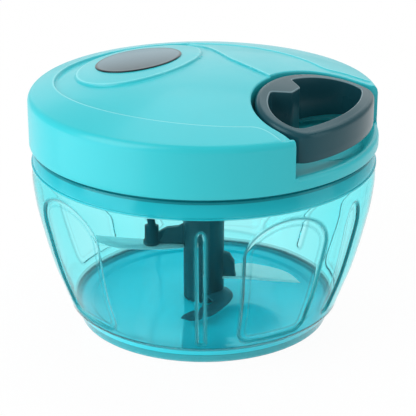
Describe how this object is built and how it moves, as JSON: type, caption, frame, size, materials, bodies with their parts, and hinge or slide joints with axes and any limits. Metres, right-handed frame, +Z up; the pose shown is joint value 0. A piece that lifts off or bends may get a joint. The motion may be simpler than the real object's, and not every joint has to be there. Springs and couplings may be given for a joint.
{
  "type": "mini food chopper",
  "caption": "Hand-pulled mini food chopper: a clear tinted bowl under a domed lid whose pull handle and cord spin a rotor of curved blades.",
  "frame": {"origin": "middle of the foot ring's underside, on the bowl's axis", "axes": "+Z up along the bowl's and rotor's axis, +X the way the handle draws out of the lid"},
  "size_m": [0.125, 0.125, 0.0943],
  "materials": {
    "clear_tint": "clear, tinted, polished",
    "base_tint": "gloss",
    "lid_blue": "satin gloss",
    "slate": "satin",
    "badge_grey": "gloss with a grey fade",
    "steel": "ground",
    "dark_steel": "dark ground",
    "spring_steel": "blued",
    "screw_steel": "plated",
    "seal": "matte",
    "cord": "braided",
    "inner_plastic": "moulded",
    "pale_plastic": "moulded"
  },
  "bodies": {
    "bowl": {"bowl": "clear_tint", "pivot_pin": "steel"},
    "seal": {"seal_ring": "seal"},
    "lid": {"lid_cover": "lid_blue", "lid_base": "base_tint", "badge": "badge_grey", "cord_eyelet": "pale_plastic", "cord_feed": "cord", "spring_arbor": "pale_plastic", "drive_axle": "steel", "axle_washer": "steel", "axle_screw": "screw_steel", "drive_bush": "pale_plastic", "lid_screws": "screw_steel", "recoil_spring": "spring_steel"},
    "handle": {"handle": "slate", "pull_cord": "cord", "cord_knot": "cord"},
    "spool": {"cord_spool": "inner_plastic", "spring_cover": "inner_plastic", "cord_winding": "cord"},
    "pawl_a": {"pawl_a": "pale_plastic"},
    "pawl_b": {"pawl_b": "pale_plastic"},
    "drive": {"drive_coupling": "inner_plastic"},
    "rotor": {"blade_shaft": "slate", "blade_upper": "steel", "blade_middle": "steel", "blade_lower": "dark_steel"}
  },
  "joints": [
    {"name": "lid_lift", "type": "slide", "parent": "bowl", "child": "seal", "axis": [0, 0, 1], "range_m": [0, 0.12]},
    {"name": "lid_twist", "type": "hinge", "parent": "seal", "child": "lid", "pos_m": [0, 0, 0.0662], "axis": [0, 0, 1], "range_deg": [-24, 0]},
    {"name": "handle_pull", "type": "slide", "parent": "lid", "child": "handle", "axis": [1, 0, 0], "range_m": [0, 0.3], "stiffness_N_per_m": 5, "springref_m": -0.06},
    {"name": "spool_spin", "type": "hinge", "parent": "lid", "child": "spool", "pos_m": [0, 0, 0.08], "axis": [0, 0, 1], "range_deg": [0, 1042]},
    {"name": "pawl_a_swing", "type": "hinge", "parent": "spool", "child": "pawl_a", "pos_m": [0.01, 0, 0.0734], "axis": [0, 0, 1], "range_deg": [-12, 0]},
    {"name": "pawl_b_swing", "type": "hinge", "parent": "spool", "child": "pawl_b", "pos_m": [-0.01, 0, 0.0734], "axis": [0, 0, 1], "range_deg": [-12, 0]},
    {"name": "drive_spin", "type": "hinge", "parent": "lid", "child": "drive", "pos_m": [0, 0, 0.07], "axis": [0, 0, 1], "continuous": true},
    {"name": "rotor_spin", "type": "hinge", "parent": "bowl", "child": "rotor", "pos_m": [0, 0, 0.03], "axis": [0, 0, 1], "continuous": true}
  ],
  "couplings": [
    {"joint": "spool_spin", "follows": "handle_pull", "rad_per_m": 60.606},
    {"joint": "drive_spin", "follows": "handle_pull", "rad_per_m": 60.606},
    {"joint": "rotor_spin", "follows": "handle_pull", "rad_per_m": 60.606}
  ]
}
